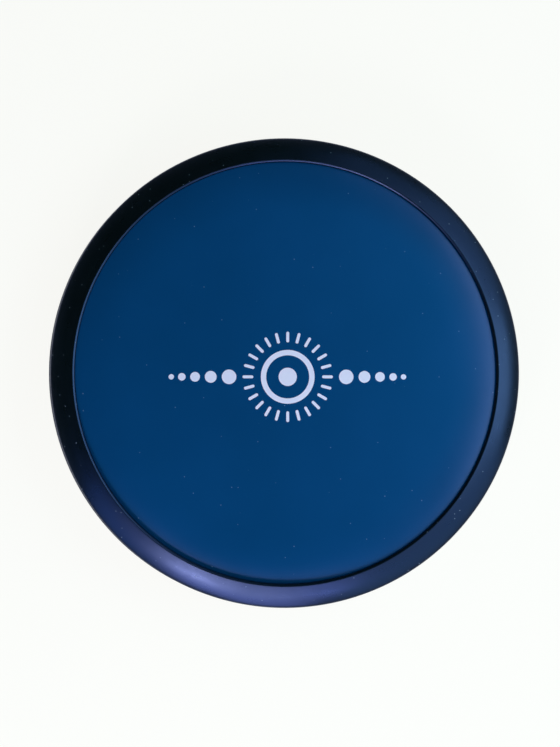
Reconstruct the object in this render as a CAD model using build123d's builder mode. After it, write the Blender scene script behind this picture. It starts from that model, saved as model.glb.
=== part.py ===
from build123d import *
import os
from math import radians, sqrt, tan

# Gel practice pad for drummers, seven inches across, in millimetres.
#
# A moulded rubber tray carries everything. A wooden core board sits in a pocket in the tray, held
# down by a ledge on the tray's thick rim. On the board lies a slab of soft blue gel inside a
# formed film, the playing skin, whose out-turned brim is trapped between the board and the ledge.
# A tee nut is driven into the board from above, and its barrel reaches down through the tray's
# floor, so that the pad screws onto a drum stand. A steel disc over the nut keeps the stand's rod
# out of the gel.
#
# The origin is on the table at the pad's centre, and +Z points up through the playing face.

# ---- Driving sizes ------------------------------------------------------------------------------

# Rubber tray, outside
foot_diameter = 178.0  # across the foot of the outer wall, where the tray is widest
rim_width = 10.0  # from the foot's edge in to the well, measured level
wall_draft = 3.0  # degrees that the outer wall leans in as it rises
foot_bevel = 0.8  # bevel round the bottom edge of the wall
rim_slope = 25.0  # degrees that the top of the rim falls away towards the outside
rim_shoulder = 3.0  # radius where the rim rolls over into the outer wall
lip_bevel = 0.9  # bevel on the rim's inner edge
rim_rise = 0.2  # the rim's inner edge stands this far above the middle of the playing face

# Rubber tray, inside
ledge_width = 2.5  # how far the rim reaches in over the core board's edge
floor_thickness = 3.0  # rubber under the core board
access_diameter = 14.0  # hole in the floor for the stand's threaded rod

# Grip pattern under the tray: straight ribs that fan out, every second one shorter
grip_height = 1.0  # how far the ribs, the collar and the foot ring stand out of the floor
rib_count = 24  # long ribs, with as many short ones between them
rib_width = 2.6
rib_end_gap = 4.0  # between the ribs' outer ends and the foot ring
long_rib_gap = 4.0  # between the long ribs' inner ends and the collar
short_rib_gap = 30.0  # between the short ribs' inner ends and the collar
collar_width = 8.0  # plain flat ring round the access hole
foot_width = 5.5  # plain flat ring along the edge that the pad stands on

# Core board
core_thickness = 9.0
core_clearance = 0.2  # between the board's edge and the tray

# Playing skin, the gel inside it, and the film that bonds the gel down
skin_thickness = 0.6
skin_gap = 0.4  # width of the groove between the skin's side and the rim
skin_bevel = 0.9  # along the skin's edge
crown_width = 12.5  # the playing face starts to fall this far in from its edge
crown_drop = 1.6  # from the flat middle down to the edge
brim_clearance = 0.5  # between the brim's edge and the tray
gel_thickness = 10.7  # at the middle
bond_thickness = 0.2  # double-sided adhesive film under the gel

# Tee nut and the steel disc over it
thread_minor_diameter = 6.65  # wall of an M8 thread's tapped hole
barrel_diameter = 10.0
barrel_clearance = 0.1  # between the barrel and the board's bore
mouth_setback = 1.5  # the barrel's mouth stays this far above the table
flange_diameter = 22.0
flange_thickness = 1.5
flange_clearance = 0.3  # round the flange, in its counterbore
prong_count = 4
prong_width = 3.6
prong_thickness = 1.3
prong_inset = 1.8  # from the flange's edge in to a prong's outer face
prong_cover = 1.0  # wood left under the prongs' tips
prong_point = 1.8  # length of the taper at each prong's tip
prong_bend_round = 0.9  # where the prong was bent down out of the flange
prong_relief = 0.9  # slit in the flange on each side of a prong
stop_thickness = 1.0

# ---- Sizes that follow from those ---------------------------------------------------------------

foot_radius = foot_diameter / 2
well_radius = foot_radius - rim_width
pocket_radius = well_radius + ledge_width
core_radius = pocket_radius - core_clearance
skin_radius = well_radius - skin_gap
brim_radius = pocket_radius - brim_clearance
crown_flat_radius = skin_radius - crown_width
barrel_radius = barrel_diameter / 2
flange_radius = flange_diameter / 2
prong_reach = flange_radius - prong_inset

# Levels, from the table up
floor_top = grip_height + floor_thickness
board_top = floor_top + core_thickness
ledge_height = board_top + skin_thickness
bond_top = board_top + bond_thickness
skin_top = bond_top + gel_thickness + skin_thickness
rim_top = skin_top + rim_rise
flange_top = board_top - stop_thickness
flange_seat = flange_top - flange_thickness
prong_tip = floor_top + prong_cover

# The rim's sloping top starts at the well and meets the leaning outer wall at this corner.
wall_lean = tan(radians(wall_draft))
rim_fall = tan(radians(rim_slope))
rim_corner_radius = (foot_radius - (rim_top + well_radius * rim_fall) * wall_lean) / (
    1 - rim_fall * wall_lean
)
rim_corner_height = rim_top - (rim_corner_radius - well_radius) * rim_fall

# The grip ribs fan out between the collar and the foot ring.
collar_radius = access_diameter / 2 + collar_width
grip_radius = foot_radius - foot_width
rib_end_radius = grip_radius - rib_end_gap


def slab_section(inset, base):
    """Half section of the crowned slab, shrunk by inset on its top and side, standing on base."""
    edge = skin_radius - inset
    top = skin_top - inset
    # A bevel that lies inset behind the skin's own is shorter by this share of inset.
    bevel = skin_bevel - inset * (2 - sqrt(2))
    with BuildSketch(Plane.XZ) as section:
        with BuildLine():
            Polyline(
                (0, base),
                (edge, base),
                (edge, top - crown_drop),
                (crown_flat_radius, top),
                (0, top),
                close=True,
            )
        make_face()
        top_edge = section.vertices().group_by(Axis.X)[-1].sort_by(Axis.Y)[-1]
        chamfer(top_edge, bevel)
    return section.sketch


# ---- Rubber tray --------------------------------------------------------------------------------

with BuildPart() as rubber_tray:
    # One revolved section makes the floor, the pocket, the ledge and the thick rolled rim.
    with BuildSketch(Plane.XZ) as tray_section:
        with BuildLine():
            Polyline(
                (access_diameter / 2, 0),
                (foot_radius, 0),
                (rim_corner_radius, rim_corner_height),
                (well_radius, rim_top),
                (well_radius, ledge_height),
                (pocket_radius, ledge_height),
                (pocket_radius, floor_top),
                (access_diameter / 2, floor_top),
                close=True,
            )
        make_face()
        foot_corner = tray_section.vertices().sort_by(Axis.X)[-1]
        chamfer(foot_corner, foot_bevel)
        lip_corner = tray_section.vertices().sort_by(Axis.Y)[-1]
        chamfer(lip_corner, lip_bevel)
        rim_corner = (rim_corner_radius, rim_corner_height)
        shoulder_corner = tray_section.vertices().sort_by_distance(rim_corner)[0]
        fillet(shoulder_corner, rim_shoulder)
    revolve(axis=Axis.Z)

    # Grip ribs, left standing where the floor is cut away round them.
    with BuildSketch(Plane.XY):
        Circle(grip_radius)
        Circle(collar_radius, mode=Mode.SUBTRACT)
        for first_angle, gap in ((0, long_rib_gap), (180 / rib_count, short_rib_gap)):
            rib_start_radius = collar_radius + gap
            rib_length = rib_end_radius - rib_start_radius
            with PolarLocations(rib_start_radius, rib_count, start_angle=first_angle):
                Rectangle(rib_length, rib_width, align=(Align.MIN, Align.CENTER), mode=Mode.SUBTRACT)
    extrude(amount=grip_height, mode=Mode.SUBTRACT)
rubber_tray.part.label = "rubber_tray"

# ---- Prong: one of the tee nut's prongs, which also cuts its own slot in the board ---------------

with BuildPart() as prong:
    with BuildSketch(Plane(origin=(prong_reach, 0, 0), x_dir=(0, 1, 0), z_dir=(1, 0, 0))):
        with BuildLine():
            Polyline(
                (-prong_width / 2, flange_top),
                (-prong_width / 2, prong_tip + prong_point),
                (0, prong_tip),
                (prong_width / 2, prong_tip + prong_point),
                (prong_width / 2, flange_top),
                close=True,
            )
        make_face()
    extrude(amount=-prong_thickness)
    bend = prong.edges().filter_by(Axis.Y).group_by(Axis.X)[-1]
    fillet(bend, prong_bend_round)

# ---- Core board ---------------------------------------------------------------------------------

with BuildPart() as core_board:
    with BuildSketch(Plane.XY.offset(floor_top)):
        Circle(core_radius)
    extrude(amount=core_thickness)
    with Locations((0, 0, board_top)):
        CounterBoreHole(
            radius=barrel_radius + barrel_clearance,
            counter_bore_radius=flange_radius + flange_clearance,
            counter_bore_depth=flange_thickness + stop_thickness,
        )
    with PolarLocations(0, prong_count):
        add(prong.part, mode=Mode.SUBTRACT)
core_board.part.label = "core_board"

# ---- Tee nut ------------------------------------------------------------------------------------

with BuildPart() as tee_nut:
    # The flange, slit where each prong was bent down out of it.
    with BuildSketch(Plane.XY.offset(flange_seat)):
        Circle(flange_radius)
        with PolarLocations(prong_reach, prong_count):
            Rectangle(
                flange_radius,
                prong_width + 2 * prong_relief,
                align=(Align.MIN, Align.CENTER),
                mode=Mode.SUBTRACT,
            )
    extrude(amount=flange_thickness)
    with BuildSketch(Plane.XY.offset(mouth_setback)):
        Circle(barrel_radius)
    extrude(amount=flange_seat - mouth_setback)
    with PolarLocations(0, prong_count):
        add(prong.part)
    with Locations((0, 0, flange_top)):
        Hole(thread_minor_diameter / 2)
tee_nut.part.label = "tee_nut"

# ---- Steel stop disc over the tee nut -----------------------------------------------------------

with BuildPart() as stop_disc:
    with BuildSketch(Plane.XY.offset(flange_top)):
        Circle(flange_radius)
    extrude(amount=stop_thickness)
stop_disc.part.label = "stop_disc"

# ---- Adhesive film under the gel ----------------------------------------------------------------

with BuildPart() as gel_adhesive:
    with BuildSketch(Plane.XY.offset(board_top)):
        Circle(skin_radius - skin_thickness)
    extrude(amount=bond_thickness)
gel_adhesive.part.label = "gel_adhesive"

# ---- Gel slab -----------------------------------------------------------------------------------

gel_section = slab_section(skin_thickness, bond_top)
with BuildPart() as gel_pad:
    revolve(gel_section, axis=Axis.Z)
gel_pad.part.label = "gel_pad"

# ---- Playing skin -------------------------------------------------------------------------------

skin_outside = slab_section(0, board_top)
skin_inside = slab_section(skin_thickness, board_top)
with BuildPart() as playing_skin:
    revolve(skin_outside, axis=Axis.Z)
    # The brim turns outwards at the foot of the skin and is trapped under the tray's ledge.
    with BuildSketch(Plane.XY.offset(board_top)):
        Circle(brim_radius)
    extrude(amount=skin_thickness)
    revolve(skin_inside, axis=Axis.Z, mode=Mode.SUBTRACT)
playing_skin.part.label = "playing_skin"

# ---- Export -------------------------------------------------------------------------------------

os.makedirs("parts", exist_ok=True)
for piece in (rubber_tray, core_board, tee_nut, stop_disc, gel_adhesive, gel_pad, playing_skin):
    export_step(piece.part, f"parts/{piece.part.label}.step")
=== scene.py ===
# %% [markdown]
# # A gel practice pad for drummers
#
# The pad is a round black rubber tray with a blue, gel-filled playing face. The solid model of it
# is already made: every part lies in one shared frame, in metres, standing on the table at z = 0.
# This lesson dresses that model in Blender. It starts with the view, the table and the lamps, so
# that each piece can be judged as soon as it is there, and then makes the pieces from the outside
# in. Loading the solids comes first, because their boxes give the new pieces their places.

# %% Load the solid model
from math import atan2, cos, degrees, hypot, pi, radians, sin, tan

import bmesh
import bpy
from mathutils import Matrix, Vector


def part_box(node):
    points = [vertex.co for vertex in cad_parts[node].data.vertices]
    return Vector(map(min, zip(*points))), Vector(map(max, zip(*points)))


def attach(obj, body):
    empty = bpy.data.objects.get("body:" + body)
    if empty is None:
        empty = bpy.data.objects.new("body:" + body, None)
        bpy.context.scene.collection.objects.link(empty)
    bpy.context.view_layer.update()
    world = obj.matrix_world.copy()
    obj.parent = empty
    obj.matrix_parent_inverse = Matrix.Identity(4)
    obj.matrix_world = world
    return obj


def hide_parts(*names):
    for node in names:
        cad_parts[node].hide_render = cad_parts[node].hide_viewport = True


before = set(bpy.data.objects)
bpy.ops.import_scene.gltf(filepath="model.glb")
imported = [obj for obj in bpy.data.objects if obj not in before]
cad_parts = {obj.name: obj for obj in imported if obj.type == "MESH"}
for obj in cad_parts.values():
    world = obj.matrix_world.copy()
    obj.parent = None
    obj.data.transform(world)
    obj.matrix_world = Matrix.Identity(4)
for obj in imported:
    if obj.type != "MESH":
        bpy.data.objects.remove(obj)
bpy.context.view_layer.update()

MM = 0.001

# %% [markdown]
# ## The camera
#
# The pad is looked at from straight above, as one looks at it before playing. A real camera is
# never quite over the middle, so this one stands a few degrees to the left, which shows a little
# more of the left wall than of the right one. A long lens from almost a metre away keeps the
# circles round. A camera with no turn looks straight down, and two small turns aim it.

# %% Camera
view_lean_left = radians(3.2)
view_lean_near = radians(0.5)
view_distance = 0.9
lens_length = 113.62
aim = Vector((-1.1 * MM, -0.05 * MM, 0))

camera_data = bpy.data.cameras.new("overhead_camera")
camera_data.lens = lens_length
camera_data.clip_start = 0.01
camera = bpy.data.objects.new("overhead_camera", camera_data)
bpy.context.scene.collection.objects.link(camera)
camera.rotation_euler = (view_lean_near, -view_lean_left, 0)
backwards = camera.rotation_euler.to_matrix() @ Vector((0, 0, 1))
camera.location = aim + view_distance * backwards
bpy.context.scene.camera = camera
print("camera stands at", [round(c, 4) for c in camera.location])

# %% [markdown]
# ## The table
#
# The pad lies on a plain pale table. A flat plane would do for the view from above, but from low
# down its far edge would show, so its border is swept up like the paper backdrop in a studio. The
# table starts as a filled circle, and its edge is extruded outwards and upwards in small steps
# along a quarter of a circle.

# %% Table
table_radius = 1.9
cove_radius = 0.9
cove_steps = 8
table_drop = 0.05 * MM


def only(*chosen):
    """Select these objects and nothing else."""
    if bpy.context.mode != "OBJECT":
        bpy.ops.object.mode_set(mode="OBJECT")
    bpy.ops.object.select_all(action="DESELECT")
    for one in chosen:
        one.select_set(True)
    if chosen:
        bpy.context.view_layer.objects.active = chosen[0]


only()
bpy.ops.mesh.primitive_circle_add(vertices=96, radius=table_radius, fill_type="NGON")
table = bpy.context.object
table.name = table.data.name = "pale_table"
bpy.ops.object.mode_set(mode="EDIT")
out, up = table_radius, 0.0
for step in range(1, cove_steps + 1):
    turn = radians(90) * step / cove_steps
    next_out = table_radius + cove_radius * sin(turn)
    next_up = cove_radius * (1 - cos(turn))
    bpy.ops.mesh.extrude_edges_move()
    bpy.ops.transform.resize(value=(next_out / out, next_out / out, 1), center_override=(0, 0, 0))
    bpy.ops.transform.translate(value=(0, 0, next_up - up))
    out, up = next_out, next_up
bpy.ops.object.mode_set(mode="OBJECT")
bpy.ops.object.shade_smooth_by_angle(angle=radians(30))
table.location.z = -table_drop
print("table reaches", round(max(v.co.x for v in table.data.vertices), 2), "m")

# %% [markdown]
# ## The table's finish
#
# The table is matt pale paper. Lamps strong enough to make it white would drown the pad, so most
# of its brightness is its own light, which only the camera and reflections see. That keeps it
# evenly pale and leaves a faint shadow under the pad, without throwing more light onto it. The
# room beyond the table is dim, so in reflections that light fades out with the distance from the
# pad. A Light Path node tells the kinds of ray apart. The first cell holds small helpers, which
# keep the wiring of every finish in this lesson short.

# %% Helpers for nodes
def node(material, kind, **settings):
    """Add a shader node, with its plain settings and its unlinked sockets."""
    made = material.node_tree.nodes.new(kind)
    for name, value in settings.items():
        if hasattr(made, name):
            setattr(made, name, value)
        else:
            made.inputs[name.replace("_", " ")].default_value = value
    return made


def wire(material, *pairs):
    """Join outputs to inputs, given as pairs of sockets."""
    for source, target in pairs:
        material.node_tree.links.new(source, target)


def bare_material(name):
    """A material with nothing in it but its output."""
    made = bpy.data.materials.new(name)
    made.use_nodes = True
    made.node_tree.nodes.clear()
    return made, node(made, "ShaderNodeOutputMaterial")


def maths(material, operation, first, second=None):
    """One Math node on sockets or plain numbers."""
    made = node(material, "ShaderNodeMath", operation=operation)
    for slot, value in enumerate((first, second)):
        if isinstance(value, (int, float)):
            made.inputs[slot].default_value = value
        elif value is not None:
            wire(material, (value, made.inputs[slot]))
    return made.outputs[0]


def ramp(material, value, low, high, to_low=0.0, to_high=1.0):
    """Map low..high of a value onto to_low..to_high, and hold it there outside."""
    made = node(
        material,
        "ShaderNodeMapRange",
        From_Min=low,
        From_Max=high,
        To_Min=to_low,
        To_Max=to_high,
    )
    wire(material, (value, made.inputs["Value"]))
    return made.outputs["Result"]


# %% Table's finish
glow_colour = (0.999, 1.0, 0.9655, 1)
glow_strength = 1.0115
glow_share = 0.9
glow_fades_from = 0.6
glow_gone_by = 1.2
paper_colour = (0.88, 0.885, 0.875, 1)

table_paper, paper_out = bare_material("pale table paper")
paper_glow = node(table_paper, "ShaderNodeEmission", Strength=glow_strength, Color=glow_colour)
paper_lit = node(table_paper, "ShaderNodeBsdfDiffuse", Color=paper_colour)
paper_mix = node(table_paper, "ShaderNodeMixShader")
ray_kind = node(table_paper, "ShaderNodeLightPath").outputs
paper_place = node(table_paper, "ShaderNodeTexCoord").outputs["Object"]
from_pad = node(table_paper, "ShaderNodeVectorMath", operation="LENGTH")
wire(table_paper, (paper_place, from_pad.inputs[0]))
near_pad = ramp(table_paper, from_pad.outputs["Value"], glow_gone_by, glow_fades_from)
mirrored = maths(table_paper, "MULTIPLY", ray_kind["Is Glossy Ray"], near_pad)
looked_at = maths(table_paper, "MAXIMUM", ray_kind["Is Camera Ray"], ray_kind["Is Transmission Ray"])
seen = maths(table_paper, "MAXIMUM", looked_at, mirrored)
wire(
    table_paper,
    (maths(table_paper, "MULTIPLY", seen, glow_share), paper_mix.inputs[0]),
    (paper_lit.outputs[0], paper_mix.inputs[1]),
    (paper_glow.outputs[0], paper_mix.inputs[2]),
    (paper_mix.outputs[0], paper_out.inputs["Surface"]),
)
table.data.materials.append(table_paper)
print("table's finish uses", len(table_paper.node_tree.nodes), "nodes")

# %% [markdown]
# ## The lamps
#
# A glossy black rim is seen by what it mirrors, so its light and dark follow the lamps round
# the circle. Fourteen soft panels stand round the pad like a ring of windows. A warm bright group
# at the near left draws the violet highlight along the rim, and a cooler, dimmer group on the
# right lets the playing face fall from light on the right to dark on the left. Two faint warm
# ones, high up on the right, only bring a glow to the curved edge of the face. Nothing stands at
# the far left, which leaves the rim there black. One bright lamp and a reflector would be fewer
# objects, but panels with an angle, a size and a brightness each are easier to tune one by one.
#
# An area lamp gives such a panel with one object. Its power is worked out from the brightness
# wanted on its face, because that is what a surface mirrors.

# %% Lamps
lamp_distance = 0.65
WARM = (1.0, 0.89, 0.87)
LILAC = (0.92, 0.90, 1.0)
VIOLET = (0.56, 0.62, 1.0)
BLUE = (0.27, 0.52, 1.0)
COOL = (0.44, 0.78, 1.0)
CYAN = (0.56, 0.92, 0.96)
DEEP_CYAN = (0.03, 0.68, 1.0)


def soft_box(name, azimuth, lean, wide, tall, brightness, colour):
    """A panel aimed at the pad. Its place, and the width it spans round the pad, are in degrees."""
    azimuth, lean = radians(azimuth), radians(lean)
    lamp = bpy.data.lights.new(name, "AREA")
    lamp.shape = "RECTANGLE"
    lamp.size = 2 * lamp_distance * sin(lean) * tan(radians(wide / 2))
    lamp.size_y = 2 * lamp_distance * tan(radians(tall / 2))
    lamp.energy = brightness * lamp.size * lamp.size_y * pi
    lamp.color = colour
    made = bpy.data.objects.new(name, lamp)
    bpy.context.scene.collection.objects.link(made)
    towards = Vector((sin(lean) * cos(azimuth), sin(lean) * sin(azimuth), cos(lean)))
    made.location = towards * lamp_distance
    made.rotation_euler = towards.to_track_quat("Z", "Y").to_euler()
    print(name, "gives", round(lamp.energy, 2), "W")


# name, azimuth, lean from straight overhead, width, height, brightness, colour
soft_box("near_spot", 248, 55, 15, 12, 18.0, WARM)
soft_box("near_low", 250, 67, 18, 12, 5.0, VIOLET)
soft_box("near_sheet", 267, 57, 19, 16, 5.8, LILAC)
soft_box("near_right", 283, 57, 12, 16, 4.5, VIOLET)
soft_box("low_right", 269, 72, 20, 14, 4.0, VIOLET)
soft_box("near_left", 226, 63, 26, 30, 1.5, BLUE)
soft_box("front", 315, 63, 60, 32, 1.2, COOL)
soft_box("right_sheet", 0, 57, 30, 18, 3.6, CYAN)
soft_box("right_high", 3, 38, 70, 18, 3.2, CYAN)
soft_box("far_right", 32, 62, 34, 30, 1.0, COOL)
soft_box("far_dim", 62, 52, 26, 36, 0.5, COOL)
soft_box("top", 15, 18, 60, 18, 1.2, DEEP_CYAN)
soft_box("near_glow", 313, 40, 62, 16, 0.6, WARM)
soft_box("far_glow", 42, 40, 40, 16, 0.55, WARM)

# %% [markdown]
# ## The room
#
# Behind the lamps the room is dark, but never quite black. A faint greenish light from all sides
# stands for it, and keeps some shape in the darkest stretch of the rim. The world's background
# gives that light without another object. Colours are shown as they are written, with no film
# look laid over them.

# %% Room
room_colour = (0.5, 1.0, 0.6, 1)
room_strength = 0.05

scene = bpy.context.scene
scene.view_settings.view_transform = "Standard"
room = bpy.data.worlds.new("dim_room")
scene.world = room
room.use_nodes = True
room_light = room.node_tree.nodes["Background"].inputs
room_light["Color"].default_value = room_colour
room_light["Strength"].default_value = room_strength
print("room light:", room_strength)

# %% [markdown]
# ## Moulded rubber
#
# The rim is black rubber with a dull shine that picks up a violet blue from the lamps. Up close
# it has a fine grain from the mould, faint rings left by turning the mould's tool, soft smears
# from handling and a few pale specks of dust. Its outer wall is duller than its top. An image
# could carry all that, but here everything is worked out from the object's own coordinates, so it
# stays sharp at any distance. Rings and smears need to run round the pad, so two of the three
# numbers that feed their noise say where a point lies round the circle, and the third, stretched
# much more, says how far out and up it lies.

# %% Helpers for finishes
def principled(name, colour, roughness, **settings):
    """A material with one Principled shader; the rest is wired to it."""
    made, out = bare_material(name)
    shader = node(
        made,
        "ShaderNodeBsdfPrincipled",
        Base_Color=(*colour, 1),
        Roughness=roughness,
        **settings,
    )
    wire(made, (shader.outputs[0], out.inputs["Surface"]))
    return made, shader


def feed(material, shader, socket, value):
    """Let a worked-out value drive one socket of the shader."""
    wire(material, (value, shader.inputs[socket]))


def times(material, first, second):
    """The product of two values."""
    return maths(material, "MULTIPLY", first, second)


def total(material, first, *others):
    """Values added up one after the other."""
    for value in others:
        first = maths(material, "ADD", first, value)
    return first


def noise(material, vector, waves, detail=2.0, roughness=0.5):
    """Noise with this many waves to a metre."""
    made = node(material, "ShaderNodeTexNoise", Scale=waves, Detail=detail, Roughness=roughness)
    wire(material, (vector, made.inputs["Vector"]))
    return made.outputs["Fac"]


def spread(material, noisy, to_low=0.0, to_high=1.0):
    """The range that a noise mostly keeps to, stretched onto to_low..to_high."""
    return ramp(material, noisy, 0.3, 0.7, to_low, to_high)


def blend_colours(material, share, first, second):
    """Mix two colours; either may be a plain colour or a socket."""
    made = node(material, "ShaderNodeMix", data_type="RGBA")
    wire(material, (share, made.inputs[0]))
    for slot, colour in ((6, first), (7, second)):
        if isinstance(colour, tuple):
            made.inputs[slot].default_value = (*colour, 1)
        else:
            wire(material, (colour, made.inputs[slot]))
    return made.outputs[2]


def bump(material, height, depth, under=None):
    """A surface roughened by this depth, on top of another bump if one is given."""
    made = node(material, "ShaderNodeBump", Strength=1.0, Distance=depth)
    wire(material, (height, made.inputs["Height"]))
    if under is not None:
        wire(material, (under, made.inputs["Normal"]))
    return made.outputs[0]


# %% Helpers for places
def object_place(material):
    """The point on the piece, in metres."""
    return node(material, "ShaderNodeTexCoord").outputs["Object"]


def place_parts(material):
    """The same point as three numbers."""
    parts = node(material, "ShaderNodeSeparateXYZ")
    wire(material, (object_place(material), parts.inputs[0]))
    return parts.outputs


def reach_out(material, x, y):
    """How far a point is from the pad's middle line."""
    return maths(material, "SQRT", total(material, times(material, x, x), times(material, y, y)))


def round_place(material, round_waves, out_waves):
    """A place for noise that runs in rings: slow round the circle, quick across it."""
    x, y, z = place_parts(material)
    reach = reach_out(material, x, y)
    parts = (
        times(material, maths(material, "DIVIDE", x, reach), round_waves),
        times(material, maths(material, "DIVIDE", y, reach), round_waves),
        times(material, total(material, reach, z), out_waves),
    )
    joined = node(material, "ShaderNodeCombineXYZ")
    wire(material, *zip(parts, joined.inputs))
    return joined.outputs[0]


def specks(material, vector, spacing, size):
    """Small dots scattered about so far apart, as a share from 0 to 1."""
    cells = node(material, "ShaderNodeTexVoronoi", Scale=1 / spacing, Randomness=1.0)
    wire(material, (vector, cells.inputs["Vector"]))
    dot = ramp(material, cells.outputs["Distance"], size / spacing, 0.5 * size / spacing)
    tint = node(material, "ShaderNodeSeparateColor")
    wire(material, (cells.outputs["Color"], tint.inputs[0]))
    # Each cell has a tint of its own, and only the third of them with the highest keep a dot.
    some = ramp(material, tint.outputs[0], 0.62, 0.7)
    return times(material, dot, some)


def speckled(material, dots, cover, clean, pale):
    """Dots of a pale colour over a clean one, each covering it by this share."""
    return blend_colours(material, times(material, dots, cover), clean, pale)


# %% Rubber
rubber, rubber_shader = principled(
    "moulded black rubber",
    (0.002, 0.004, 0.004),
    0.3,
    Specular_IOR_Level=0.86,
    Specular_Tint=(0.30, 0.42, 1.0, 1),
)
rubber_place = object_place(rubber)
rings = noise(rubber, round_place(rubber, round_waves=5.0, out_waves=900.0), 1.0, detail=3.0)
handled = round_place(rubber, round_waves=14.0, out_waves=350.0)
smears = noise(rubber, handled, 1.0, detail=3.0, roughness=0.6)
clouds = noise(rubber, rubber_place, 45.0, detail=3.0)
grain = noise(rubber, rubber_place, 5200.0)
dust = specks(rubber, rubber_place, spacing=2.1 * MM, size=0.25 * MM)

# %% Rubber's colour, shine and bumps
fresh_black = (0.001, 0.0028, 0.0026)
worn_black = (0.002, 0.0045, 0.0048)
dust_grey = (0.26, 0.30, 0.38)
dust_cover = 0.7
dust_dullness = 0.4
wall_dullness = 0.55
wall_is_dull_below = 19.3 * MM
shoulder_shines_above = 19.8 * MM

worn = blend_colours(rubber, ramp(rubber, clouds, 0.35, 0.7), fresh_black, worn_black)
feed(rubber, rubber_shader, "Base Color", speckled(rubber, dust, dust_cover, worn, dust_grey))

ring_shine = spread(rubber, rings, 0.27, 0.32)
smear_shine = spread(rubber, smears, -0.02, 0.02)
height_up = place_parts(rubber)[2]
dull_wall = ramp(rubber, height_up, shoulder_shines_above, wall_is_dull_below, 0.0, wall_dullness)
dull_dust = times(rubber, dust, dust_dullness)
feed(rubber, rubber_shader, "Roughness", total(rubber, ring_shine, smear_shine, dull_wall, dull_dust))

ring_bump = bump(rubber, rings, 0.012 * MM)
smear_bump = bump(rubber, smears, 0.018 * MM, under=ring_bump)
feed(rubber, rubber_shader, "Normal", bump(rubber, grain, 0.004 * MM, under=smear_bump))
print("rubber uses", len(rubber.node_tree.nodes), "nodes")

# %% [markdown]
# ## The rubber tray
#
# The tray is one moulding: a floor with grip ribs below, a pocket for the core board, a ledge
# that holds the board down, and a thick rim whose top slopes away and rolls over into a leaning
# wall. A narrow facet runs along the rim's inner edge and catches the light. It is a turned
# shape, so it could be drawn as a section and spun. Here one circle of edges is extruded from
# ring to ring instead, because each ring can then be named after what it does, and its edge can
# be rounded with a bevel of its own size.

# %% Turning tools
STEPS = 192  # points round the circle
NEAR = 0.02 * MM  # a point this near to a place counts as being there
MERGED = 0.002 * MM  # points nearer to each other than this become one


def turn_up(name, rings, pole=False):
    """Extrude one circle of edges along rings of (radius, height) in millimetres."""
    only()
    radius, height = rings[0]
    place = (0, 0, height * MM)
    bpy.ops.mesh.primitive_circle_add(vertices=STEPS, radius=radius * MM, location=place)
    made = bpy.context.object
    made.name = made.data.name = name
    bpy.ops.object.transform_apply()
    bpy.ops.object.mode_set(mode="EDIT")
    for next_radius, next_height in rings[1:]:
        size = next_radius / radius
        bpy.ops.mesh.extrude_edges_move()
        bpy.ops.transform.resize(value=(size, size, 1), center_override=(0, 0, 0))
        bpy.ops.transform.translate(value=(0, 0, (next_height - height) * MM))
        radius, height = next_radius, next_height
    if pole:
        bpy.ops.mesh.extrude_edges_move()
        bpy.ops.mesh.merge(type="CENTER")
    bpy.ops.mesh.select_all(action="SELECT")
    bpy.ops.mesh.remove_doubles(threshold=MERGED)
    bpy.ops.mesh.normals_make_consistent(inside=False)
    bpy.ops.object.mode_set(mode="OBJECT")
    return made


def pick(piece, wanted):
    """In edit mode, select just the points whose place passes the test, and count them."""
    only(piece)
    bpy.ops.object.mode_set(mode="EDIT")
    bpy.ops.mesh.select_mode(type="VERT")
    bpy.ops.mesh.select_all(action="DESELECT")
    mesh = bmesh.from_edit_mesh(piece.data)
    for point in mesh.verts:
        point.select = wanted(point.co)
    mesh.select_flush(True)
    bmesh.update_edit_mesh(piece.data)
    return sum(point.select for point in mesh.verts)


def pick_ring(piece, radius, height):
    """In edit mode, select the whole ring of points at this radius and height."""

    def on_ring(p):
        return abs(hypot(p.x, p.y) - radius * MM) < NEAR and abs(p.z - height * MM) < NEAR

    count = pick(piece, on_ring)
    if count != STEPS:
        raise ValueError(f"{count} points at radius {radius}, height {height}")


def round_ring(piece, radius, height, reach, segments):
    """Round the edge that a ring makes, the round reaching so far each way."""
    pick_ring(piece, radius, height)
    bpy.ops.mesh.bevel(offset=reach * MM, segments=segments, profile=0.5, affect="EDGES")
    bpy.ops.object.mode_set(mode="OBJECT")


def close_ring(piece, radius, height):
    """Draw a small ring together into one point, which closes the mesh there."""
    pick_ring(piece, radius, height)
    bpy.ops.mesh.merge(type="CENTER")
    bpy.ops.object.mode_set(mode="OBJECT")


# %% Tray's sizes
tray_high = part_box("rubber_tray")[1]
board_low, board_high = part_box("core_board")
board_top = board_high.z / MM
print("solid tray's height, mm:", round(tray_high.z / MM, 2))

# The outside, in millimetres
foot_radius = 89.0
shoulder_leans = (38, 35, 32, 29.5, 27, 25)  # degrees, from the wall up to the sloping top
shoulder_radius = 25.38
shoulder_middle = (72.074, 0.008)
rim_top = 24.57

# The rim's inner edge, the ledge and the pocket
lip_radius = 79.35
lip_lean = 29.0
well_radius = 78.6
ledge_height = 13.6
pocket_radius = 81.5
floor_top = board_low.z / MM

# The underside
access_radius = 7.0
collar_radius = 15.0
grip_radius = 83.5
floor_underside = 1.0
recess_draft = 0.25  # the recess round the ribs is this much wider at the table

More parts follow.
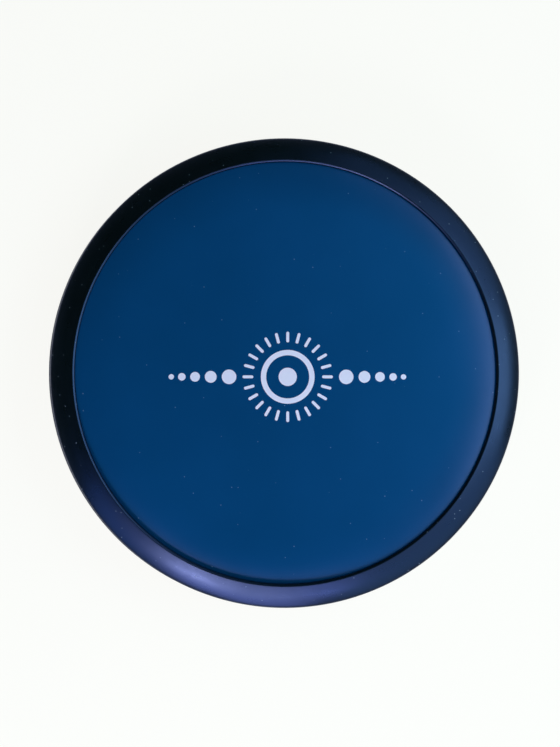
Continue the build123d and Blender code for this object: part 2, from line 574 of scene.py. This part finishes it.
# %% Tray, turned
shoulder = [
    (
        shoulder_middle[0] + shoulder_radius * sin(radians(lean)),
        shoulder_middle[1] + shoulder_radius * cos(radians(lean)),
    )
    for lean in shoulder_leans
]
lip_foot = rim_top - (lip_radius - well_radius) * tan(radians(lip_lean))
tray_rings = [
    (access_radius, 0),
    (collar_radius, 0),
    (collar_radius + recess_draft, floor_underside),
    (grip_radius - recess_draft, floor_underside),
    (grip_radius, 0),
    (foot_radius, 0),
    *shoulder,
    (lip_radius, rim_top),
    (well_radius, lip_foot),
    (well_radius, ledge_height),
    (pocket_radius, ledge_height),
    (pocket_radius, floor_top),
    (access_radius, floor_top),
    (access_radius, 0),
]
tray = turn_up("rubber_tray_moulded", tray_rings)
round_ring(tray, *shoulder[0], reach=0.45, segments=4)
round_ring(tray, lip_radius, rim_top, reach=0.2, segments=5)
round_ring(tray, well_radius, lip_foot, reach=0.12, segments=4)
round_ring(tray, foot_radius, 0, reach=0.9, segments=4)
round_ring(tray, access_radius, 0, reach=0.5, segments=3)
for edge_radius in (collar_radius, grip_radius):
    round_ring(tray, edge_radius, 0, reach=0.3, segments=2)
for edge_radius in (collar_radius + recess_draft, grip_radius - recess_draft):
    round_ring(tray, edge_radius, floor_underside, reach=0.3, segments=2)
print("tray turned:", len(tray.data.polygons), "faces")

# %% [markdown]
# ## The grip ribs
#
# Straight ribs fan out under the tray, every second one shorter, so that the pad doesn't slide
# on a table or a stand. They could be cut out of the floor, but each is simply a bar that stands
# down from it, so one long and one short bar are modelled and copied round the middle. The copies
# are joined to the tray, because the real ones are moulded with it.

# %% Grip ribs
rib_count = 24
rib_width = 2.6
rib_end = 79.5
rib_sunk = 0.2
rib_round = 0.35
long_rib_start = 19.0
short_rib_start = 45.0


def rib(name, start):
    """One straight rib, from start to the shared outer end, a little of it sunk in the floor."""
    only()
    middle = ((start + rib_end) / 2 * MM, 0, (floor_underside + rib_sunk) / 2 * MM)
    bpy.ops.mesh.primitive_cube_add(size=MM, location=middle)
    made = bpy.context.object
    made.name = made.data.name = name
    bpy.ops.object.mode_set(mode="EDIT")
    bpy.ops.transform.resize(value=(rib_end - start, rib_width, floor_underside + rib_sunk))
    bpy.ops.object.mode_set(mode="OBJECT")
    bpy.ops.object.transform_apply()
    pick(made, lambda p: abs(p.z) < NEAR)
    bpy.ops.mesh.bevel(offset=rib_round * MM, segments=2, affect="EDGES")
    bpy.ops.object.mode_set(mode="OBJECT")
    return made


def fan_out(first, count):
    """A piece and its copies, each with its own mesh, spaced evenly about the pad's middle."""
    made = [first]
    for number in range(1, count):
        only(first)
        bpy.ops.object.duplicate(linked=False)
        copy = bpy.context.object
        copy.rotation_euler.z = radians(360 / count) * number
        bpy.ops.object.transform_apply()
        made.append(copy)
    return made


long_ribs = fan_out(rib("long_rib", long_rib_start), rib_count)
short_rib = rib("short_rib", short_rib_start)
short_rib.rotation_euler.z = radians(180 / rib_count)
only(short_rib)
bpy.ops.object.transform_apply()
short_ribs = fan_out(short_rib, rib_count)
only(tray, *long_ribs, *short_ribs)
bpy.ops.object.join()
bpy.ops.object.shade_smooth_by_angle(angle=radians(32))
tray.data.materials.clear()
tray.data.materials.append(rubber)
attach(tray, "root")
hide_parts("rubber_tray")
print("tray with", 2 * rib_count, "ribs:", len(tray.data.polygons), "faces")

# %% [markdown]
# ## Blue film
#
# The playing face is a soft blue film with a satin shine. Its blue is a little uneven, it waves
# very slightly and carries some dust, and along its edge, next to the rim, a painted shade darkens
# it where the rim's shade falls. A clear shell over a coloured body would be the literal way, but
# the film is so strongly dyed that one surface with the right blue looks the same and renders
# without noise.

# %% Film
film_blues = ((0.0, 0.0505, 0.159), (0.0, 0.0555, 0.177))
film_dust_blue = (0.24, 0.34, 0.50)
film_dust_cover = 0.6
# Painted shade along the film's edge: where it starts, where it is full, and how dark it gets.
edge_shade_from = 78.0 * MM
edge_shade_full_by = 78.5 * MM
painted_edge_shade = 0.2

film, film_shader = principled(
    "blue playing film",
    (0.0, 0.041, 0.138),
    0.24,
    Specular_IOR_Level=0.72,
    Specular_Tint=(0.46, 0.41, 0.82, 1),
)
film_place = object_place(film)
mottle = noise(film, film_place, 28.0, detail=3.0)
film_grain = noise(film, film_place, 3800.0)
slow_wave = noise(film, film_place, 22.0, detail=1.0)
film_dust = specks(film, film_place, spacing=3.4 * MM, size=0.24 * MM)

film_x, film_y = place_parts(film)[:2]
film_reach = reach_out(film, film_x, film_y)
# Painted shade: the blue is darkened towards black along the edge, next to the rim, where the rim's shade
# falls.
painted_shade_share = ramp(film, film_reach, edge_shade_from, edge_shade_full_by, 0.0, painted_edge_shade)
film_blue = blend_colours(film, spread(film, mottle), *film_blues)
film_blue = blend_colours(film, painted_shade_share, film_blue, (0.0, 0.0, 0.0))
film_blue = speckled(film, film_dust, film_dust_cover, film_blue, film_dust_blue)
feed(film, film_shader, "Base Color", film_blue)
feed(film, film_shader, "Roughness", spread(film, mottle, 0.22, 0.26))
film_wave = bump(film, slow_wave, 0.10 * MM)
feed(film, film_shader, "Normal", bump(film, film_grain, 0.004 * MM, under=film_wave))
print("film uses", len(film.node_tree.nodes), "nodes")

# %% [markdown]
# ## The playing skin
#
# The skin is that film, drawn tight over the slab of gel. It is flat in the middle, falls away
# gently towards its edge, and rolls over there into a steep side. Below, it turns outwards into
# a thin brim that the tray's ledge traps. A cloth simulation could swell it, but a tight film
# over a cast slab has no folds, so its section is turned up and given its thickness afterwards
# with a Solidify modifier.
#
# A soft face is never quite even: along the near left its edge sits lower. A vertex group says
# how much each point takes part in that, and a Displace modifier moves the points down.

# %% Skin's shape
skin_thickness = 0.6
skin_radius = 78.55
brim_radius = 81.0
side_height = 18.0
skin_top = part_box("playing_skin")[1].z / MM
brim_top = board_top + skin_thickness

crown_start = 61.0
crown_drop = 1.55
edge_roll = 0.16
edge_radii = (78.0, 77.4, 76.9, 76.4, 75.8, 75.0, 74.0, 72.5, 70.5, 68.0, 65.5, 63.0)


def crown(radius, inset=0.0):
    """Height of the playing face at this radius: flat, then falling along an arc."""
    if radius <= crown_start:
        return skin_top - inset
    share = (radius - crown_start) / (skin_radius - crown_start)
    return skin_top - inset - crown_drop * share**2


print("face's edge height, mm:", round(crown(skin_radius), 2))

# %% Settled edge
settle_start = 70.5
settle_azimuth = -117.0
settle_spread = 56.0
settle_fade = 30.0
settle_drop = 0.75
settle_power = 1.6
still_below = 15.0  # the brim and the foot of the side keep their place


def settle_share(place):
    """How far a point takes part in the settling, from 0 to 1, eased along the edge."""
    out = (hypot(place.x, place.y) / MM - settle_start) / (skin_radius - settle_start)
    turn = abs((degrees(atan2(place.y, place.x)) - settle_azimuth + 180) % 360 - 180)
    along = min(1.0, max(0.0, (settle_spread - turn) / settle_fade))
    if out <= 0 or along <= 0 or place.z <= still_below * MM:
        return 0.0
    return min(1.0, out)**settle_power * along * along * (3 - 2 * along)


def settle_edge(piece):
    """Lower the edge of the face along its near left side, where it settled."""
    only(piece)
    near_edge = piece.vertex_groups.new(name="near_edge")
    for point in piece.data.vertices:
        share = settle_share(point.co)
        if share > 0:
            near_edge.add([point.index], share, "REPLACE")
    sag = piece.modifiers.new("sag", "DISPLACE")
    sag.direction = "Z"
    sag.mid_level = 0.0
    sag.strength = -settle_drop * MM
    sag.vertex_group = near_edge.name
    bpy.ops.object.modifier_apply(modifier=sag.name)
    piece.vertex_groups.clear()
    print(piece.name, "settled by", settle_drop, "mm at most")


# %% Playing skin
skin_rings = [(brim_radius, brim_top), (skin_radius, brim_top), (skin_radius, side_height)]
skin_rings += [(r, crown(r)) for r in (skin_radius, *edge_radii, crown_start, 40.0, 20.0, 5.0)]
skin = turn_up("playing_skin_drawn", skin_rings, pole=True)
round_ring(skin, skin_radius, crown(skin_radius), reach=edge_roll, segments=10)
round_ring(skin, skin_radius, brim_top, reach=0.3, segments=2)
settle_edge(skin)
thicken = skin.modifiers.new("film_thickness", "SOLIDIFY")
thicken.thickness = skin_thickness * MM
thicken.offset = -1
bpy.ops.object.modifier_apply(modifier=thicken.name)
bpy.ops.object.shade_smooth_by_angle(angle=radians(50))
skin.data.materials.append(film)
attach(skin, "root")
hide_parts("playing_skin")
print("skin box, mm:", [round(v / MM, 2) for v in skin.dimensions])

# %% [markdown]
# ## The gel slab
#
# Under the skin lies the part that gives: a cast slab of clear blue gel, with a few small bubbles
# in it. It fills the skin all round, so its section is the skin's, shrunk by the thickness of the
# film, and settles with it. A pool of liquid could be simulated, but a cast slab keeps its shape.
# Some light scatters inside it, which the Principled shader's subsurface gives.

# %% Gel
gel_blues = ((0.003, 0.075, 0.24), (0.006, 0.105, 0.32))
bubble_blue = (0.10, 0.26, 0.52)
bubble_cover = 0.5

gel, gel_shader = principled(
    "clear blue gel",
    (0.004, 0.09, 0.28),
    0.22,
    Subsurface_Weight=0.3,
    Coat_Weight=0.3,
)
gel_place = object_place(gel)
bubbles = specks(gel, gel_place, spacing=3.0 * MM, size=0.35 * MM)
gel_cloud = noise(gel, gel_place, 60.0, detail=3.0)
gel_blue = blend_colours(gel, spread(gel, gel_cloud), *gel_blues)
feed(gel, gel_shader, "Base Color", speckled(gel, bubbles, bubble_cover, gel_blue, bubble_blue))
feed(gel, gel_shader, "Normal", bump(gel, gel_cloud, 0.2 * MM))
print("gel uses", len(gel.node_tree.nodes), "nodes")

# %% Gel slab
bond_thickness = 0.2
pole_radius = 0.5
gel_foot = board_top + bond_thickness
gel_radius = skin_radius - skin_thickness

gel_rings = [(pole_radius, gel_foot), (40.0, gel_foot), (gel_radius, gel_foot), (gel_radius, side_height)]
gel_face = (gel_radius, *edge_radii, crown_start, 30.0, pole_radius)
gel_rings += [(r, crown(r, skin_thickness)) for r in gel_face]
slab = turn_up("gel_slab_cast", gel_rings)
close_ring(slab, pole_radius, gel_foot)
close_ring(slab, pole_radius, skin_top - skin_thickness)
round_ring(slab, gel_radius, crown(gel_radius, skin_thickness), reach=0.3, segments=4)
settle_edge(slab)
bpy.ops.object.shade_smooth_by_angle(angle=radians(50))
slab.data.materials.append(gel)
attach(slab, "root")
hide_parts("gel_pad")
print("gel box, mm:", [round(v / MM, 2) for v in slab.dimensions])

# %% [markdown]
# ## The printed target
#
# A plain target is printed in lavender ink in the middle of the playing face: a dot, a ring, a
# circle of ticks and a row of dots to each side. A picture laid on the film would print it too,
# but the ink is a real layer, so each mark is a flat shape given the thickness of ink, lying on
# the film. One tick is modelled and copied round the circle; the dots differ in size, so each is
# its own small disc. All are joined into one print. Screen ink covers unevenly: its tone drifts,
# and a few pinholes let the film show through.

# %% Ink
ink_tones = ((0.93, 0.79, 0.99), (0.98, 0.83, 1.0))
pinhole_blue = (0.34, 0.40, 0.66)

ink, ink_shader = principled(
    "lavender screen ink",
    (0.95, 0.84, 1.0),
    0.45,
    Specular_IOR_Level=0.8,
)
ink_place = object_place(ink)
pinholes = noise(ink, ink_place, 2600.0, detail=3.0, roughness=0.7)
ink_depth = noise(ink, ink_place, 160.0)
ink_tone = blend_colours(ink, spread(ink, ink_depth), *ink_tones)
bare_share = ramp(ink, pinholes, 0.70, 0.78)
feed(ink, ink_shader, "Base Color", blend_colours(ink, bare_share, ink_tone, pinhole_blue))
feed(ink, ink_shader, "Normal", bump(ink, pinholes, 0.01 * MM))
print("ink uses", len(ink.node_tree.nodes), "nodes")

# %% Marks
ink_thickness = 0.05
ink_sunk = 0.02
print_middle = (0.4, -1.5)


def ink_up(piece):
    """Give a flat shape the thickness of the ink, its lower face just in the film."""
    only(piece)
    bpy.ops.object.transform_apply()
    bpy.ops.object.mode_set(mode="EDIT")
    bpy.ops.mesh.select_all(action="SELECT")
    rise = (0, 0, (ink_thickness + ink_sunk) * MM)
    bpy.ops.mesh.extrude_region_move(TRANSFORM_OT_translate={"value": rise})
    bpy.ops.mesh.select_all(action="SELECT")
    bpy.ops.transform.translate(value=(0, 0, (skin_top - ink_sunk) * MM))
    bpy.ops.mesh.normals_make_consistent(inside=False)
    bpy.ops.object.mode_set(mode="OBJECT")
    return piece


def printed_dot(radius, out):
    """A round dot of ink, so far to the right of the print's middle."""
    only()
    place = ((print_middle[0] + out) * MM, print_middle[1] * MM, 0)
    bpy.ops.mesh.primitive_circle_add(vertices=48, radius=radius * MM, fill_type="NGON", location=place)
    return ink_up(bpy.context.object)


def printed_ring(inner, outer):
    """A ring of ink, extruded inwards from its outer edge."""
    only()
    bpy.ops.mesh.primitive_circle_add(vertices=96, radius=outer * MM)
    made = bpy.context.object
    bpy.ops.object.mode_set(mode="EDIT")
    bpy.ops.mesh.extrude_edges_move()
    bpy.ops.transform.resize(value=(inner / outer, inner / outer, 1), center_override=(0, 0, 0))
    bpy.ops.object.mode_set(mode="OBJECT")
    made.location = (print_middle[0] * MM, print_middle[1] * MM, 0)
    return ink_up(made)


def tick_shape(start, length, width):
    """One flat tick with round ends, lying along X."""
    only()
    bpy.ops.mesh.primitive_plane_add(size=MM, location=((start + length / 2) * MM, 0, 0))
    made = bpy.context.object
    bpy.ops.object.mode_set(mode="EDIT")
    bpy.ops.transform.resize(value=(length, width, 1))
    bpy.ops.mesh.select_all(action="SELECT")
    # A little less than half the width rounds the ends fully, and keeps the corners apart.
    bpy.ops.mesh.bevel(offset=0.49 * width * MM, segments=6, affect="VERTICES")
    bpy.ops.object.mode_set(mode="OBJECT")
    only(made)
    bpy.ops.object.transform_apply()
    return made


# %% Print
middle_dot = 3.4
target_ring = (8.0, 10.0)
tick_count = 24
tick_start = 12.8
tick_length = 4.0
tick_width = 1.1
row_of_dots = ((21.8, 2.7), (28.6, 2.2), (34.4, 1.8), (39.3, 1.4), (43.2, 1.0))

marks = [printed_dot(middle_dot, 0), printed_ring(*target_ring)]
for out, radius in row_of_dots:
    marks += [printed_dot(radius, out), printed_dot(radius, -out)]
for tick in fan_out(tick_shape(tick_start, tick_length, tick_width), tick_count):
    tick.location = (print_middle[0] * MM, print_middle[1] * MM, 0)
    marks.append(ink_up(tick))
only(*marks)
bpy.ops.object.join()
face_print = bpy.context.object
face_print.name = face_print.data.name = "face_print"
face_print.data.materials.append(ink)
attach(face_print, "root")
print("print:", len(marks), "marks,", len(face_print.data.polygons), "faces")

# %% [markdown]
# ## The tee nut's thread
#
# Seen from below, the mouth of a steel nut stands in the middle of the tray. The solid model has
# its shape, with a plain hole where the thread is. A bump could hint at the thread, but the mouth
# shows its real grooves from the side. So a copy of that solid is cut here by a cutter of the
# thread's own form: a small triangle, wound up along the axis with a Screw modifier. A circle of
# three points is just such a triangle, because a metric thread has flanks at 60 degrees. A short
# cone opens the mouth, so that a rod finds its way in.

# %% Nut to be cut
nut_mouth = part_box("tee_nut")[0].z


def merge_close(piece):
    """Join points that lie on each other, and leave all of them selected in edit mode."""
    pick(piece, lambda p: True)
    bpy.ops.mesh.remove_doubles(threshold=0.001 * MM)


def cut_away(piece, cutter):
    """Cut one closed shape out of another, and take the cutter away."""
    only(piece)
    cut = piece.modifiers.new("cut", "BOOLEAN")
    cut.operation = "DIFFERENCE"
    cut.solver = "EXACT"
    cut.object = cutter
    bpy.ops.object.modifier_apply(modifier=cut.name)
    bpy.data.objects.remove(cutter)


nut = bpy.data.objects.new("tee_nut_tapped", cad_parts["tee_nut"].data.copy())
bpy.context.scene.collection.objects.link(nut)
merge_close(nut)
bpy.ops.object.mode_set(mode="OBJECT")
print("nut before the thread:", len(nut.data.polygons), "faces")

# %% Thread
thread_pitch = 1.25
thread_root_radius = 4.0
thread_turns = 11
steps_a_turn = 32
turns_before_mouth = 1.1
groove_size = 0.6  # from the middle of the triangle to its corners
corner_over_root = 0.06  # the sharp corner reaches this far past the root
groove_middle = thread_root_radius + corner_over_root - groove_size
groove_start = nut_mouth - turns_before_mouth * thread_pitch * MM

only()
bpy.ops.mesh.primitive_circle_add(
    vertices=3,
    radius=groove_size * MM,
    location=(groove_middle * MM, 0, groove_start),
    rotation=(radians(90), radians(90), 0),
)
groove = bpy.context.object
bpy.ops.object.transform_apply()
wind = groove.modifiers.new("wind", "SCREW")
wind.screw_offset = thread_pitch * MM
wind.iterations = thread_turns
wind.steps = wind.render_steps = steps_a_turn
bpy.ops.object.modifier_apply(modifier=wind.name)
merge_close(groove)
bpy.ops.mesh.fill_holes(sides=3)
bpy.ops.mesh.select_all(action="SELECT")
bpy.ops.mesh.normals_make_consistent(inside=False)
bpy.ops.object.mode_set(mode="OBJECT")
groove_reach = max(hypot(v.co.x, v.co.y) for v in groove.data.vertices)
print("groove reaches", round(groove_reach / MM, 3), "mm out")
cut_away(nut, groove)

# %% Nut's mouth
cone_foot_radius = 4.7
cone_head_radius = 3.0
cone_height = 1.7
cone_middle = 0.45  # above the nut's mouth

only()
bpy.ops.mesh.primitive_cone_add(
    vertices=48,
    radius1=cone_foot_radius * MM,
    radius2=cone_head_radius * MM,
    depth=cone_height * MM,
    location=(0, 0, nut_mouth + cone_middle * MM),
)
cut_away(nut, bpy.context.object)
only(nut)
bpy.ops.object.shade_smooth_by_angle(angle=radians(25))
nut.data.materials.clear()
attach(nut, "root")
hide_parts("tee_nut")
print("nut:", len(nut.data.polygons), "faces")

# %% [markdown]
# ## Metal, wood and glue line
#
# The inner parts keep the solid model's own shapes, which are right as they are. What they lack
# is a finish. The core is a board of pressed wood fibre, the steel parts are zinc plated, and the
# gel stands on a sheet of clear double-sided film. Images of such surfaces could be wrapped
# round them, but a few noises at the size that the real thing shows, laid over a plain colour,
# need no image and no unwrapping.

# %% Pressed wood fibre
fibre_browns = ((0.22, 0.13, 0.065), (0.46, 0.32, 0.18))

fibre, fibre_shader = principled("pressed wood fibre", (0.36, 0.24, 0.13), 0.75)
fibre_place = object_place(fibre)
flecks = noise(fibre, fibre_place, 900.0, detail=4.0, roughness=0.7)
patches = noise(fibre, fibre_place, 70.0)
fibre_tone = total(fibre, spread(fibre, flecks, 0.0, 0.75), spread(fibre, patches, 0.0, 0.25))
feed(fibre, fibre_shader, "Base Color", blend_colours(fibre, fibre_tone, *fibre_browns))
feed(fibre, fibre_shader, "Normal", bump(fibre, flecks, 0.08 * MM))
print("fibre uses", len(fibre.node_tree.nodes), "nodes")

# %% Zinc plating
zinc_greys = ((0.50, 0.53, 0.58), (0.70, 0.71, 0.72))

zinc, zinc_shader = principled("bright zinc plating", (0.62, 0.64, 0.67), 0.34, Metallic=1.0)
zinc_place = object_place(zinc)
spangle = noise(zinc, zinc_place, 420.0, detail=3.0)
drawn = noise(zinc, zinc_place, 2600.0)
spangle_share = ramp(zinc, spangle, 0.35, 0.65)
feed(zinc, zinc_shader, "Base Color", blend_colours(zinc, spangle_share, *zinc_greys))
feed(zinc, zinc_shader, "Roughness", spread(zinc, drawn, 0.26, 0.44))
feed(zinc, zinc_shader, "Normal", bump(zinc, drawn, 0.01 * MM))
nut.data.materials.append(zinc)
print("zinc uses", len(zinc.node_tree.nodes), "nodes")

# %% Double-sided film
glue_tones = ((0.66, 0.63, 0.52), (0.78, 0.76, 0.68))
trapped_air = (0.88, 0.88, 0.84)

glue, glue_shader = principled("clear double-sided film", (0.72, 0.70, 0.60), 0.25, Coat_Weight=0.4)
glue_place = object_place(glue)
trapped = specks(glue, glue_place, spacing=4.0 * MM, size=0.8 * MM)
haze = noise(glue, glue_place, 120.0, detail=3.0)
glue_tone = blend_colours(glue, spread(glue, haze), *glue_tones)
feed(glue, glue_shader, "Base Color", blend_colours(glue, trapped, glue_tone, trapped_air))
feed(glue, glue_shader, "Normal", bump(glue, haze, 0.03 * MM))
print("glue uses", len(glue.node_tree.nodes), "nodes")

# %% Finish the inner solids
for solid, finish in (("core_board", fibre), ("stop_disc", zinc), ("gel_adhesive", glue)):
    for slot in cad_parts[solid].material_slots:
        slot.link = "OBJECT"
        slot.material = finish
    print(solid, "is finished in", finish.name)
